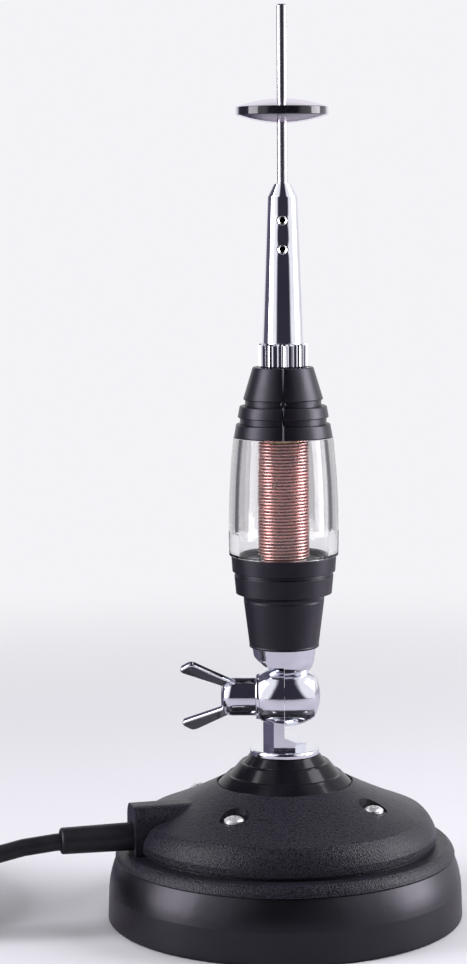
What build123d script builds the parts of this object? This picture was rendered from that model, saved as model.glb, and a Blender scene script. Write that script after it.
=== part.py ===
from build123d import *
import os
from math import cos, radians, sin, sqrt, tan

# Base, from the floor up (millimetres, origin under the mast on the floor, +Z up)
base_radius = 62.5
skirt_waist_height = 11.5
skirt_waist_inset = 0.44
skirt_height = 22.3
skirt_top_inset = 3.3
skirt_lip = 1.2
skirt_lip_width = 9.1
film_thickness = 0.8
film_gap = 0.3
skirt_wall = 5.5
cup_radius = base_radius - skirt_wall
cup_fit = 0.1
cup_wall = 3.0
cup_plate = 3.0
cup_height = 17.8
pole_radius = 22.0
magnet_gap = 2.0
magnet_lift = 0.2

# Pebbled cover over the magnet cup
cover_wall = 2.8
cover_flange_inset = 2.7
cover_flange_radius = base_radius - cover_flange_inset
cover_flange_height = 3.9
cover_flange_slope = 2.6
cover_spigot_wall = 2.9
cover_lip_inset = 9.3
cover_lip_radius = base_radius - cover_lip_inset
cover_groove = 0.9
cover_groove_height = 1.0
cover_shoulder_inset = 13.2
cover_shoulder_radius = base_radius - cover_shoulder_inset
cover_shoulder_height = 17.6
cover_lip_height = 10.9
cover_seat_height = 28.4
cover_seat_rim = 0.6
cover_ceiling_drop = 2.0
cover_wall_drop = 0.6
cover_seat_gap = 0.2
dome_bow = -0.4
shoulder_bow = 0.6

# Cover screws
screw_circle_share = 0.56
screw_circle_radius = base_radius * screw_circle_share
screw_count = 4
screw_first_angle = -29.5
screw_head_radius = 3.5
screw_head_height = 2.2
screw_head_seat = 21.6
screw_radius = 1.95
screw_clearance = 0.15
screw_tap_gap = 0.05
screw_well_radius = 5.0
screw_boss_wall = 1.5
screw_end_gap = 0.3
cross_width = 0.9
cross_length = 4.2
cross_depth = 1.2

# Cable boss and strain relief
cable_angle = 194.5
boss_inset = 7.5
boss_length = 25.0
boss_reach = base_radius - boss_inset
boss_root = boss_reach - boss_length
boss_width = 15.5
boss_top = 43.0
boss_corner = 5.5
sleeve_height = 31.8
sleeve_radius = 4.9
sleeve_gap = 0.35
sleeve_overhang = 17.5
sleeve_inside = 20.0
sleeve_reach = base_radius + sleeve_overhang
sleeve_root = boss_reach - sleeve_inside
sleeve_collar_radius = 6.0
sleeve_collar_length = 2.6
sleeve_tip_radius = 4.6
sleeve_flare = 0.8
sleeve_flare_length = 15.5
sleeve_mouth = 0.25
sleeve_mouth_length = 6.0

# Stepped insulator, flange and feed stud
cone_height = 10.4
cone_foot_radius = 23.8
cone_top_radius = 12.2
cone_first_step_radius = 20.1
cone_second_step_radius = 15.5
cone_first_step_height = 3.5
cone_second_step_height = 7.7
cone_step_drop = 0.5
cone_hollow_radius = 17.0
cone_hollow_height = 3.0
flange_thickness = 2.3
flange_radius = 12.1
stud_radius = 2.95
stud_gap = 0.1
stud_below_nut = 2.0
stud_in_post = 2.4
stud_end_gap = 0.3
bush_wall = 1.6
bush_flange_radius = 9.0
bush_flange = 1.8
bush_gap = 0.1
bush_into_cone = 3.1
lug_thickness = 0.8
lug_radius = 6.0
lug_reach = 14.0
lug_width = 5.0
lug_wire_hole = 1.2
nut_height = 5.0
nut_flats = 10.0

# Tilt joint
hinge_rise = 18.3
drum_radius = 10.9
drum_left = 8.7
drum_left_end_radius = 8.4
drum_right = 10.5
drum_right_end_radius = 7.6
seam_gap = 0.1
post_flats = 13.0
shoulder_seam_height = 4.4
shoulder_edge_height = 1.4
bolt_radius = 3.0
bolt_gap = 0.05
bolt_head = 2.0
bolt_end_gap = 0.4
washer_radius = 8.3
washer_thickness = 1.2
nut_barrel_radius = 7.0
nut_barrel_length = 8.3
nut_nose_length = 3.9
nut_nose_radius = 3.4
nut_bore_depth = 9.7
wing_angle = 35.0
wing_thickness = 2.5
wing_edge_round = 0.7
wing_root_foot = (6.0, 2.8)
wing_root_top = (6.6, 6.6)
wing_waist_top = (12.4, 10.4)
wing_tip_top = (22.4, 17.0)
wing_tip_foot = (27.4, 13.2)
wing_waist_foot = (13.4, 6.4)
wing_tip_round = 2.6
wing_foot_round = 1.4
neck_rise = 17.6
neck_radius = 11.2
neck_cup_radius = 10.5
neck_cup_height = 13.6
neck_foot_radius = 8.4
neck_foot_height = 8.6
neck_shoulder_height = 11.6
neck_shoulder_reach = 6.5
neck_shoulder_rise = 3.2
spigot_radius = 5.0
spigot_length = 12.5
thread_gap = 0.05

# Lower cap of the coil unit, from its foot up
cup_foot_radius = 11.3
cup_foot_round = 0.8
cup_low_radius = 12.1
cup_top_radius = 14.05
lower_cup_height = 16.3
lower_step_height = 2.7
lower_ring_low_radius = 16.7
lower_ring_top_radius = 17.3
lower_ring_height = 6.5
lower_groove_radius = 16.9
lower_groove_height = 1.1
lower_rim_low_radius = 17.9
lower_rim_top_radius = 18.3
lower_rim_height = 5.7
lower_recess_depth = 1.7
lower_recess_radius = 15.4

# Clear cover, winding and former
clear_height = 41.3
clear_low_radius = 18.96
clear_top_radius = 17.3
clear_bow = 0.75
clear_wall = 3.3
wire_pitch = 1.13
wire_groove = 0.42
winding_turns = 37
winding_radius = 9.0
winding_lift = 0.5
former_radius = 7.85
former_gap = 0.05
former_bore = 3.95
core_radius = 3.9
core_length = 9.4
seal_width = 1.0
seal_height = 0.8
seal_gap = 0.05

# Inserts inside the caps
lower_insert_radius = 7.5
upper_insert_radius = 6.0
upper_insert_flange_radius = 7.6
upper_insert_flange = 2.4
insert_gap = 0.05

# Upper cap, from its foot up
upper_rim_low_radius = 17.1
upper_rim_top_radius = 16.3
upper_rim_height = 4.5
upper_groove_radius = 15.0
upper_groove_height = 2.2
upper_ring_low_radius = 15.8
upper_ring_top_radius = 15.07
upper_ring_height = 4.0
upper_neck_radius = 13.2
upper_neck_height = 2.2
upper_cone_radius = 13.9
upper_cone_height = 11.2
upper_top_radius = 10.5

# Mast top
collar_height = 8.1
collar_radius = 8.45
collar_flutes = 36
flute_depth = 0.45
holder_height = 54.7
holder_foot_radius = 7.17
holder_shoulder_radius = 5.2
holder_shoulder_drop = 4.4
holder_tip_radius = 2.84
holder_stud_radius = 4.0
holder_stud_length = 12.0
whip_radius = 1.8
whip_gap = 0.05
whip_exposed = 60.5
whip_grip = 34.5
whip_slide_room = 11.0
whip_chamfer = 0.5
grub_radius = 1.95
grub_drops = (12.4, 22.3)
grub_sink = 0.25
grub_tip_gap = 0.05
grub_socket_flats = 2.0
grub_socket_depth = 1.8
disc_radius = 15.9
disc_rim = 2.7
disc_dome = 2.85
disc_bow = 0.7
disc_below_tip = 31.7

# Cable, coiled remainder, tie and plug
cable_radius = 3.0
cable_gap = 0.05
cable_start_rise = 1.7
cable_start_gap = 6.0
cable_bend_in_sleeve = 4.5
cable_level_reach = 18.0
cable_drop = [(32.0, 16.7), (18.0, 4.8), (6.0, 0.0)]
cable_arc_share = 0.45
tie_thickness = 0.8
tie_width = 10.0
tie_angle = 60.0
tie_gap = 0.3
turn_radius = 36.0
turns_per_layer = 3.75
layers = 4
coil_beyond_sleeve = 69.0
coil_distance = sleeve_reach + coil_beyond_sleeve
tail_quarter_turn = 90.0
tail_reach = 50.0
tail_sag = 0.4
tail_drop = 1.8
tail_shares = (0.1, 0.32, 0.74, 1.0)
plug_rear_radius = 5.0
plug_rear_length = 12.0
plug_collar_radius = 7.4
plug_collar_length = 3.0
plug_front_radius = 6.8
plug_front_length = 14.0
plug_socket_radius = 5.3
plug_socket_depth = 7.0
plug_ring_radius = 9.0
plug_ring_length = 18.3
plug_ring_thread_radius = 7.94
plug_ring_gap = 0.1
plug_ring_lip = 2.4
plug_ring_flutes = 24
plug_ring_flute_depth = 0.5
plug_pin_radius = 1.98
plug_pin_length = 15.5
plug_pin_foot_radius = 2.4

# Small edge breaks shared by turned pieces
edge_round = 0.5
fine_round = 0.3

# Heights and radii that follow from the sizes above
cup_top = skirt_lip + cup_height
cone_seat = cup_top + cover_seat_height
flange_seat = cone_seat + cone_height
post_foot = flange_seat + flange_thickness
hinge_height = post_foot + hinge_rise
lower_cap_foot = hinge_height + neck_rise
lower_cap_height = (
    lower_cup_height + lower_step_height + lower_ring_height + lower_groove_height + lower_rim_height
)
clear_foot = lower_cap_foot + lower_cap_height
upper_cap_foot = clear_foot + clear_height
upper_cap_height = (
    upper_rim_height + upper_groove_height + upper_ring_height + upper_neck_height + upper_cone_height
)
collar_foot = upper_cap_foot + upper_cap_height
holder_foot = collar_foot + collar_height
holder_top = holder_foot + holder_height
whip_top = holder_top + whip_exposed
recess_floor = clear_foot - lower_recess_depth
insert_flange_foot = upper_cap_foot - upper_insert_flange
coil_band = turns_per_layer * 2 * cable_radius / 2 + cable_radius
coil_height = layers * 2 * cable_radius
coil_outer_radius = turn_radius + coil_band
along = Vector(cos(radians(cable_angle)), sin(radians(cable_angle)), 0)
across = Vector(along.Y, -along.X, 0)
first_turn_radius = turn_radius + coil_band - cable_radius
coil_centre = along * coil_distance + across * first_turn_radius


def profile(corners):
    # Closed outline from (across, up, bow, round) corners; bow bends the side that leads to the corner
    edges = []
    for before, corner in zip(corners[-1:] + corners[:-1], corners):
        start = Vector(*before[:2])
        end = Vector(*corner[:2])
        bow = corner[2] if len(corner) > 2 else 0
        if bow:
            side = end - start
            middle = (start + end) / 2 + Vector(side.Y, -side.X) * (bow / side.length)
            edges.append(ThreePointArc(start, middle, end))
        else:
            edges.append(Line(start, end))
    face = Sketch() + make_face(edges)
    for corner in corners:
        if len(corner) > 3:
            nearest = face.vertices().sort_by_distance((corner[0], corner[1], 0))[0]
            face = fillet(nearest, corner[3])
    return face


def turned(corners):
    return revolve(Plane.XZ * profile(corners), Axis.Z)


def turned_on_hinge(corners):
    spun = revolve(profile(corners), Axis.X)
    return Pos(0, 0, hinge_height) * spun


def rod(radius, low, high):
    return Pos(0, 0, low) * Cylinder(radius, high - low, align=(Align.CENTER, Align.CENTER, Align.MIN))


def hexagon(flats, low, high, turn=0):
    outline = RegularPolygon(flats / 2, 6, major_radius=False, rotation=turn)
    return Pos(0, 0, low) * extrude(outline, high - low)


def hinge_rod(radius, left, right):
    bar = Rot(0, 90, 0) * rod(radius, left, right)
    return Pos(0, 0, hinge_height) * bar


def sag(span, drop, at):
    # Fall of a circular crown at a distance from its top, when it falls by drop over span
    bend = (span**2 + drop**2) / (2 * drop)
    return bend - sqrt(bend**2 - at**2)


def fluted(radius, depth, count, height):
    notch = RegularPolygon(depth * 2, 3, rotation=180)
    return extrude(Circle(radius) - PolarLocations(radius + depth, count) * notch, height)


def whip():
    bar = rod(whip_radius, holder_top - whip_grip, whip_top)
    return chamfer(bar.edges().filter_by(GeomType.CIRCLE), whip_chamfer)


def tuning_disc():
    rim_top = whip_top - disc_below_tip - disc_dome
    rim_foot = rim_top - disc_rim
    lens = turned([
        (0, rim_foot - disc_dome),
        (disc_radius, rim_foot, disc_bow, fine_round),
        (disc_radius, rim_top, 0, fine_round),
        (0, rim_top + disc_dome, disc_bow),
    ])
    return lens - rod(whip_radius + whip_gap, rim_foot - disc_radius, rim_top + disc_radius)


def holder_radius_at(height):
    taper_height = holder_height - holder_shoulder_drop
    share = (height - holder_foot) / taper_height
    return holder_foot_radius + (holder_shoulder_radius - holder_foot_radius) * share


def grub_heights():
    return [holder_top - drop for drop in grub_drops]


def whip_holder():
    shoulder = holder_top - holder_shoulder_drop
    bore_foot = holder_top - whip_grip - whip_slide_room
    body = turned([
        (0, holder_foot - holder_stud_length),
        (holder_stud_radius, holder_foot - holder_stud_length, 0, edge_round),
        (holder_stud_radius, holder_foot),
        (holder_foot_radius, holder_foot, 0, fine_round),
        (holder_shoulder_radius, shoulder, 0, edge_round * 2),
        (holder_tip_radius, holder_top, 0, fine_round),
        (0, holder_top),
    ])
    body -= rod(whip_radius + whip_gap, bore_foot, holder_top)
    for height in grub_heights():
        hole = Rot(90, 0, 0) * rod(grub_radius + thread_gap, 0, holder_foot_radius)
        body -= Pos(0, 0, height) * hole
    return body


def grub_screws():
    screws = []
    for height in grub_heights():
        inner = whip_radius + whip_gap + grub_tip_gap
        outer = holder_radius_at(height) - grub_sink
        screw = chamfer(rod(grub_radius, inner, outer).edges().group_by(Axis.Z)[-1], fine_round)
        screw -= hexagon(grub_socket_flats, outer - grub_socket_depth, outer)
        screws.append(Pos(0, 0, height) * (Rot(90, 0, 0) * screw))
    return Compound(children=[screw.solid() for screw in screws])


def knurled_collar():
    ring = fluted(collar_radius, flute_depth, collar_flutes, collar_height)
    ends = turned([
        (0, 0),
        (collar_radius - flute_depth, 0),
        (collar_radius + flute_depth, 2 * flute_depth),
        (collar_radius + flute_depth, collar_height - 2 * flute_depth),
        (collar_radius - flute_depth, collar_height),
        (0, collar_height),
    ])
    ring = (ring & ends) - rod(holder_stud_radius + thread_gap, 0, collar_height)
    return Pos(0, 0, collar_foot) * ring


def upper_cap():
    rim_top = upper_cap_foot + upper_rim_height
    groove_top = rim_top + upper_groove_height
    ring_top = groove_top + upper_ring_height
    neck_top = ring_top + upper_neck_height
    cap = turned([
        (0, upper_cap_foot),
        (upper_rim_low_radius, upper_cap_foot, 0, fine_round),
        (upper_rim_top_radius, rim_top, 0, edge_round),
        (upper_groove_radius, rim_top),
        (upper_groove_radius, groove_top),
        (upper_ring_low_radius, groove_top, 0, fine_round),
        (upper_ring_top_radius, ring_top, 0, edge_round),
        (upper_neck_radius, ring_top),
        (upper_neck_radius, neck_top),
        (upper_cone_radius, neck_top, 0, fine_round),
        (upper_top_radius, collar_foot, 0, edge_round),
        (0, collar_foot),
    ])
    cap -= rod(upper_insert_radius + insert_gap, upper_cap_foot, collar_foot)
    return cap - seal_groove(upper_seal_radius(), upper_cap_foot, upper_cap_foot + seal_height)


def upper_insert():
    insert = turned([
        (0, insert_flange_foot - core_length),
        (core_radius, insert_flange_foot - core_length, 0, fine_round),
        (core_radius, insert_flange_foot),
        (upper_insert_flange_radius, insert_flange_foot),
        (upper_insert_flange_radius, upper_cap_foot),
        (upper_insert_radius, upper_cap_foot),
        (upper_insert_radius, collar_foot),
        (0, collar_foot),
    ])
    hole_foot = holder_foot - holder_stud_length - thread_gap
    return insert - rod(holder_stud_radius + thread_gap, hole_foot, collar_foot)


def clear_cover():
    return turned([
        (clear_low_radius, clear_foot, 0, fine_round),
        (clear_top_radius, upper_cap_foot, clear_bow, fine_round),
        (clear_top_radius - clear_wall, upper_cap_foot),
        (clear_low_radius - clear_wall, clear_foot, -clear_bow),
    ])


def upper_seal_radius():
    return clear_top_radius - clear_wall / 2


def lower_seal_radius():
    return clear_low_radius - clear_wall / 2 - edge_round


def seal_groove(radius, low, high):
    half = seal_width / 2 + seal_gap
    return rod(radius + half, low, high) - rod(radius - half, low, high)


def seal(radius, low):
    half = seal_width / 2
    return rod(radius + half, low, low + seal_height) - rod(radius - half, low, low + seal_height)


def loading_coil():
    # Close-wound wire as one ribbed sleeve, a ridge for each turn
    low = recess_floor + winding_lift
    corners = [(former_radius + former_gap, low)]
    for turn in range(winding_turns):
        foot = low + turn * wire_pitch
        corners.append((winding_radius - wire_groove, foot))
        corners.append((winding_radius, foot + wire_pitch / 2))
    top = low + winding_turns * wire_pitch
    corners.append((winding_radius - wire_groove, top))
    corners.append((former_radius + former_gap, top))
    return turned(corners)


def coil_former():
    tube = rod(former_radius, recess_floor, insert_flange_foot)
    return tube - rod(former_bore, recess_floor, insert_flange_foot)


def lower_cap():
    cup_top_height = lower_cap_foot + lower_cup_height
    ring_foot = cup_top_height + lower_step_height
    ring_top = ring_foot + lower_ring_height
    rim_foot = ring_top + lower_groove_height
    cap = turned([
        (0, lower_cap_foot),
        (cup_foot_radius, lower_cap_foot),
        (cup_low_radius, lower_cap_foot + cup_foot_round, edge_round),
        (cup_top_radius, cup_top_height),
        (lower_ring_low_radius, ring_foot, -edge_round * 2),
        (lower_ring_top_radius, ring_top, 0, fine_round),
        (lower_groove_radius, ring_top),
        (lower_groove_radius, rim_foot),
        (lower_rim_low_radius, rim_foot, 0, fine_round),
        (lower_rim_top_radius, clear_foot, 0, fine_round),
        (lower_recess_radius, clear_foot),
        (lower_recess_radius, recess_floor),
        (0, recess_floor),
    ])
    cap -= rod(lower_insert_radius + insert_gap, lower_cap_foot, recess_floor)
    return cap - seal_groove(lower_seal_radius(), clear_foot - seal_height, clear_foot)


def lower_insert():
    body = rod(lower_insert_radius, lower_cap_foot, recess_floor)
    body += rod(core_radius, recess_floor, recess_floor + core_length)
    return body - rod(spigot_radius + thread_gap, lower_cap_foot, lower_cap_foot + spigot_length + edge_round)


def half_drum(end, end_radius):
    # Barrel crown from the seam in the middle to a flat end
    side = 1 if end > 0 else -1
    seam = side * seam_gap / 2
    drop = drum_radius - end_radius
    middle_radius = drum_radius - sag(abs(end), drop, abs(end) / 2)
    edges = [
        Line((seam, 0), (seam, drum_radius)),
        ThreePointArc((seam, drum_radius), (end / 2, middle_radius), (end, end_radius)),
        Line((end, end_radius), (end, 0)),
        Line((end, 0), (seam, 0)),
    ]
    return Pos(0, 0, hinge_height) * revolve(make_face(edges), Axis.X)


def tilt_head():
    cup_foot = hinge_height + neck_cup_height
    foot = hinge_height + neck_foot_height
    neck = turned([
        (0, foot),
        (neck_foot_radius, foot),
        (neck_cup_radius, cup_foot, edge_round, edge_round * 2),
        (neck_radius, lower_cap_foot),
        (0, lower_cap_foot),
    ])
    shoulder = hinge_height + neck_shoulder_height
    left_side = Polyline(
        (seam_gap / 2, foot), (seam_gap / 2, shoulder), (-neck_shoulder_reach, shoulder),
        (-neck_radius, shoulder + neck_shoulder_rise), (-neck_radius, foot), close=True,
    )
    neck -= extrude(Plane.XZ * make_face(left_side), neck_radius, both=True)
    head = neck + half_drum(drum_right, drum_right_end_radius)
    head += rod(spigot_radius, lower_cap_foot, lower_cap_foot + spigot_length)
    return head - hinge_rod(bolt_radius + bolt_gap, 0, drum_right)


def tilt_post():
    shoulder_seam = post_foot + shoulder_seam_height
    shoulder_edge = post_foot + shoulder_edge_height
    corner = post_flats / sqrt(3)
    hexagon_post = hexagon(post_flats, post_foot, hinge_height, 0)
    left_side = Pos(-seam_gap / 2, 0, post_foot) * Box(
        2 * corner, post_flats, hinge_rise, align=(Align.MAX, Align.CENTER, Align.MIN)
    )
    slant = Polyline(
        (-corner, post_foot), (corner, post_foot), (corner, shoulder_edge),
        (-seam_gap / 2, shoulder_seam), (-corner, shoulder_seam), close=True,
    )
    foot = extrude(Plane.XZ * make_face(slant), post_flats, both=True)
    post = (hexagon_post & left_side) + (hexagon_post & foot)
    post += half_drum(-drum_left, drum_left_end_radius)
    post -= rod(stud_radius + thread_gap, post_foot, post_foot + stud_in_post + stud_end_gap)
    return post - hinge_rod(bolt_radius + bolt_gap, -drum_left, 0)


def hinge_bolt():
    end = -drum_left - washer_thickness - nut_bore_depth + bolt_end_gap
    shank = hinge_rod(bolt_radius, end, drum_right)
    head = turned_on_hinge([
        (drum_right, 0),
        (drum_right + bolt_head, 0),
        (drum_right, drum_right_end_radius, edge_round),
    ])
    return shank + head


def wing_washer():
    left = -drum_left - washer_thickness
    washer = turned_on_hinge([
        (left, bolt_radius + bolt_gap),
        (left, washer_radius, 0, fine_round),
        (-drum_left, washer_radius, 0, fine_round),
        (-drum_left, bolt_radius + bolt_gap),
    ])
    return washer


def wing():
    # Flat ear that leans outwards from the nose of the nut, given as (reach from the seat, radius)
    outline = [
        wing_root_foot,
        wing_root_top,
        wing_waist_top,
        (*wing_tip_top, 0, wing_tip_round),
        (*wing_tip_foot, 0, wing_foot_round),
        wing_waist_foot,
    ]
    blade = extrude(Plane.XZ * profile(outline), wing_thickness / 2, both=True)
    blade = fillet(blade.edges().filter_by(Plane.XZ), wing_edge_round)
    return Rot(0, 0, 180) * blade


def wing_nut():
    face = -drum_left - washer_thickness
    shoulder = face - nut_barrel_length
    nose = shoulder - nut_nose_length
    barrel = revolve(profile([
        (nose, 0),
        (face, 0),
        (face, nut_barrel_radius, 0, fine_round),
        (shoulder, nut_barrel_radius),
        (nose, nut_nose_radius, edge_round * 2),
    ]), Axis.X)
    nut = barrel
    for side in (0, 180):
        nut += Rot(side, 0, 0) * (Pos(face, 0, 0) * wing())
    nut -= Rot(0, 90, 0) * rod(bolt_radius + thread_gap, face - nut_bore_depth, face)
    return Pos(0, 0, hinge_height) * (Rot(wing_angle, 0, 0) * nut)


def post_flange():
    return turned([
        (stud_radius + stud_gap, flange_seat),
        (flange_radius, flange_seat, 0, edge_round),
        (flange_radius, post_foot, 0, edge_round * 2),
        (stud_radius + stud_gap, post_foot),
    ])


def stepped_cone():
    first = cone_seat + cone_first_step_height
    second = cone_seat + cone_second_step_height
    bush_top = cone_seat + bush_into_cone
    bush_radius = stud_radius + stud_gap + bush_wall
    cone = turned([
        (0, cone_seat),
        (cone_foot_radius, cone_seat, 0, fine_round),
        (cone_first_step_radius + cone_step_drop, first - cone_step_drop),
        (cone_first_step_radius, first),
        (cone_first_step_radius - cone_step_drop * 2, first, 0, fine_round),
        (cone_second_step_radius + cone_step_drop, second - cone_step_drop),
        (cone_second_step_radius, second),
        (cone_second_step_radius - cone_step_drop * 2, second, 0, fine_round),
        (cone_top_radius, flange_seat, 0, fine_round),
        (0, flange_seat),
    ])
    ring = rod(cone_hollow_radius, cone_seat, cone_seat + cone_hollow_height)
    ring -= rod(bush_radius + bush_gap + cover_wall, cone_seat, cone_seat + cone_hollow_height)
    cone -= ring
    cone -= rod(bush_radius + bush_gap, cone_seat, bush_top + bush_gap)
    return cone - rod(stud_radius + stud_gap, cone_seat, flange_seat)


def insulating_bush():
    ceiling = cone_seat - cover_wall
    bush_radius = stud_radius + stud_gap + bush_wall
    bush = rod(bush_flange_radius, ceiling - bush_flange, ceiling)
    bush += rod(bush_radius, ceiling, cone_seat + bush_into_cone)
    return bush - rod(stud_radius + stud_gap, ceiling - bush_flange, cone_seat + bush_into_cone)


def lug_top():
    return cone_seat - cover_wall - bush_flange


def feed_stud():
    foot = lug_top() - lug_thickness - nut_height - stud_below_nut
    stud = rod(stud_radius, foot, post_foot + stud_in_post)
    return chamfer(stud.edges().filter_by(GeomType.CIRCLE), edge_round)


def stud_nut():
    top = lug_top() - lug_thickness
    nut = hexagon(nut_flats, top - nut_height, top)
    return nut - rod(stud_radius + thread_gap, top - nut_height, top)


def solder_lug():
    low = lug_top() - lug_thickness
    ring = rod(lug_radius, low, lug_top())
    tab = Pos(0, 0, low) * Box(
        lug_reach, lug_width, lug_thickness, align=(Align.MIN, Align.CENTER, Align.MIN)
    )
    tab -= Pos(lug_reach - lug_width / 2, 0, 0) * rod(lug_wire_hole, low, lug_top())
    lug = ring + Rot(0, 0, cable_angle) * tab
    return lug - rod(stud_radius + stud_gap, low, lug_top())


def cover_outside():
    flange_foot = skirt_height
    flange_top = flange_foot + cover_flange_height
    groove_top = flange_top + cover_groove_height
    shoulder = cup_top + cover_shoulder_height
    lip = cup_top + cover_lip_height
    seat_radius = cone_foot_radius + cover_seat_gap
    return turned([
        (0, cup_top),
        (cup_radius - cup_fit, cup_top),
        (cup_radius - cup_fit, flange_foot),
        (cover_flange_radius, flange_foot, 0, fine_round),
        (cover_flange_radius - cover_flange_slope, flange_top, edge_round),
        (cover_lip_radius - cover_groove, flange_top),
        (cover_lip_radius - cover_groove, groove_top),
        (cover_lip_radius, groove_top, 0, fine_round),
        (cover_lip_radius, lip),
        (cover_shoulder_radius, shoulder, shoulder_bow),
        (seat_radius, cone_seat + cover_seat_rim, dome_bow),
        (seat_radius, cone_seat),
        (0, cone_seat),
    ])


def cover_inside():
    flange_top = skirt_height + cover_flange_height
    shoulder = cup_top + cover_shoulder_height - cover_ceiling_drop
    lip = cup_top + cover_lip_height - cover_wall_drop
    return turned([
        (0, cup_top),
        (cup_radius - cup_fit - cover_spigot_wall, cup_top),
        (cup_radius - cup_fit - cover_spigot_wall, flange_top - cover_wall),
        (cover_lip_radius - cover_wall, flange_top - cover_wall),
        (cover_lip_radius - cover_wall, lip),
        (cover_shoulder_radius - cover_ceiling_drop, shoulder, shoulder_bow),
        (cone_foot_radius + cover_seat_gap, cone_seat - cover_wall, dome_bow),
        (0, cone_seat - cover_wall),
    ])


def screw_places():
    return PolarLocations(screw_circle_radius, screw_count, start_angle=screw_first_angle)


def cable_side(width, height):
    # Upper half of a section across the cable's way out
    up = 1 if cable_plane(0, 0).y_dir.Z > 0 else -1
    return Pos(0, up * height / 2) * Rectangle(width, height)


def cable_plane(distance, height):
    # Plane across the cable's way out, x to the side and y up
    return Plane(origin=along * distance + Vector(0, 0, height), x_dir=across, z_dir=along)


def cable_boss():
    foot = skirt_height + cover_flange_height
    outline = RectangleRounded(boss_width, 2 * (boss_top - foot), boss_corner)
    outline &= cable_side(boss_width, boss_top - foot)
    return extrude(cable_plane(boss_root, foot) * outline, boss_length)


def base_cover():
    outside = cover_outside()
    seat = cup_top + screw_head_seat
    well_top = cone_seat + cover_wall
    shell = outside + cable_boss() - cover_inside()
    pillar = rod(screw_well_radius + screw_boss_wall, cup_top, cone_seat)
    for place in screw_places():
        shell += (place * pillar) & outside
    for place in screw_places():
        shell -= place * rod(screw_well_radius, seat, well_top)
        shell -= place * rod(screw_radius + screw_clearance, cup_top, seat)
    bush_radius = stud_radius + stud_gap + bush_wall
    shell -= rod(bush_radius + bush_gap, cup_top, cone_seat)
    hole = cable_plane(boss_root, sleeve_height) * rod(sleeve_radius + sleeve_gap, 0, boss_reach)
    return shell - hole


def cover_screws():
    seat = cup_top + screw_head_seat
    head = turned([
        (0, seat),
        (screw_head_radius, seat, 0, fine_round),
        (screw_head_radius, seat + screw_head_height / 2),
        (0, seat + screw_head_height, edge_round),
    ])
    shank = rod(screw_radius, cup_top - cup_plate + screw_end_gap, seat)
    cross_foot = seat + screw_head_height - cross_depth
    slot = Box(cross_length, cross_width, cross_depth * 2)
    for quarter in (0, 90):
        head -= Pos(0, 0, cross_foot + cross_depth) * (Rot(0, 0, quarter) * slot)
    screw = head + shank
    return Compound(children=[(place * screw).solid() for place in screw_places()])


def magnet_cup():
    plate = cup_top - cup_plate
    inner = cup_radius - cup_wall
    cup = turned([
        (0, film_thickness),
        (pole_radius, film_thickness),
        (pole_radius, plate),
        (inner, plate),
        (inner, skirt_lip),
        (cup_radius, skirt_lip),
        (cup_radius, cup_top, 0, edge_round * 2),
        (0, cup_top),
    ])
    for place in screw_places():
        cup -= place * rod(screw_radius + screw_tap_gap, plate, cup_top)
    return cup


def ring_magnet():
    plate = cup_top - cup_plate
    low = skirt_lip + magnet_lift
    ring = rod(cup_radius - cup_wall - magnet_gap, low, plate)
    return ring - rod(pole_radius + magnet_gap, low, plate)


def rubber_skirt():
    waist = base_radius - skirt_waist_inset
    top = base_radius - skirt_top_inset
    return turned([
        (base_radius - skirt_lip_width, 0),
        (base_radius, 0, 0, edge_round * 2),
        (waist, skirt_waist_height),
        (top, skirt_height, edge_round, edge_round),
        (cup_radius + cup_fit, skirt_height),
        (cup_radius + cup_fit, skirt_lip),
        (base_radius - skirt_lip_width, skirt_lip),
    ])


def base_film():
    return rod(base_radius - skirt_lip_width - film_gap, 0, film_thickness)


def cable_sleeve():
    sleeve = turned([
        (cable_radius + cable_gap, sleeve_root + sleeve_flare_length),
        (cable_radius + cable_gap + sleeve_flare, sleeve_root),
        (sleeve_collar_radius, sleeve_root),
        (sleeve_collar_radius, sleeve_root + sleeve_collar_length),
        (sleeve_radius, sleeve_root + sleeve_collar_length),
        (sleeve_radius, boss_reach),
        (sleeve_tip_radius, sleeve_reach, 0, edge_round * 2),
        (cable_radius + cable_gap + sleeve_mouth, sleeve_reach),
        (cable_radius + cable_gap, sleeve_reach - sleeve_mouth_length),
    ])
    return cable_plane(0, sleeve_height) * sleeve


def tube_along(points):
    # Straight runs joined by arcs that take most of half of the shorter run at each corner
    radii = []
    for before, corner, after in zip(points, points[1:], points[2:]):
        arriving = corner - before
        leaving = after - corner
        half_turn = radians(arriving.get_angle(leaving)) / 2
        radii.append(cable_arc_share * min(arriving.length, leaving.length) / tan(half_turn))
    path = FilletPolyline(*points, radius=radii)
    start = Plane(origin=points[0], z_dir=points[1] - points[0])
    return sweep(start * Circle(cable_radius), path=path)


def route_points():
    # Distance along the cable's way out and height of its middle
    floor = tie_thickness + cable_radius
    route = [
        (lug_reach + cable_start_gap, sleeve_height + cable_start_rise),
        (sleeve_root + cable_bend_in_sleeve, sleeve_height),
        (sleeve_reach + cable_level_reach, sleeve_height),
    ]
    route += [(coil_distance - back, floor + rise) for back, rise in cable_drop]
    return [along * distance + Vector(0, 0, height) for distance, height in route]


def tail_plane():
    turn = tail_quarter_turn
    outward = (across * -1).rotate(Axis.Z, -turn)
    heading = along.rotate(Axis.Z, -turn)
    start = coil_centre + outward * first_turn_radius
    return start, heading


def tail_points():
    start, heading = tail_plane()
    top = tie_thickness + coil_height - cable_radius
    floor = plug_ring_radius
    heights = (top - tail_sag, top - tail_drop, floor, floor)
    return [
        start + heading * tail_reach * share + Vector(0, 0, height)
        for share, height in zip(tail_shares, heights)
    ]


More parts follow.
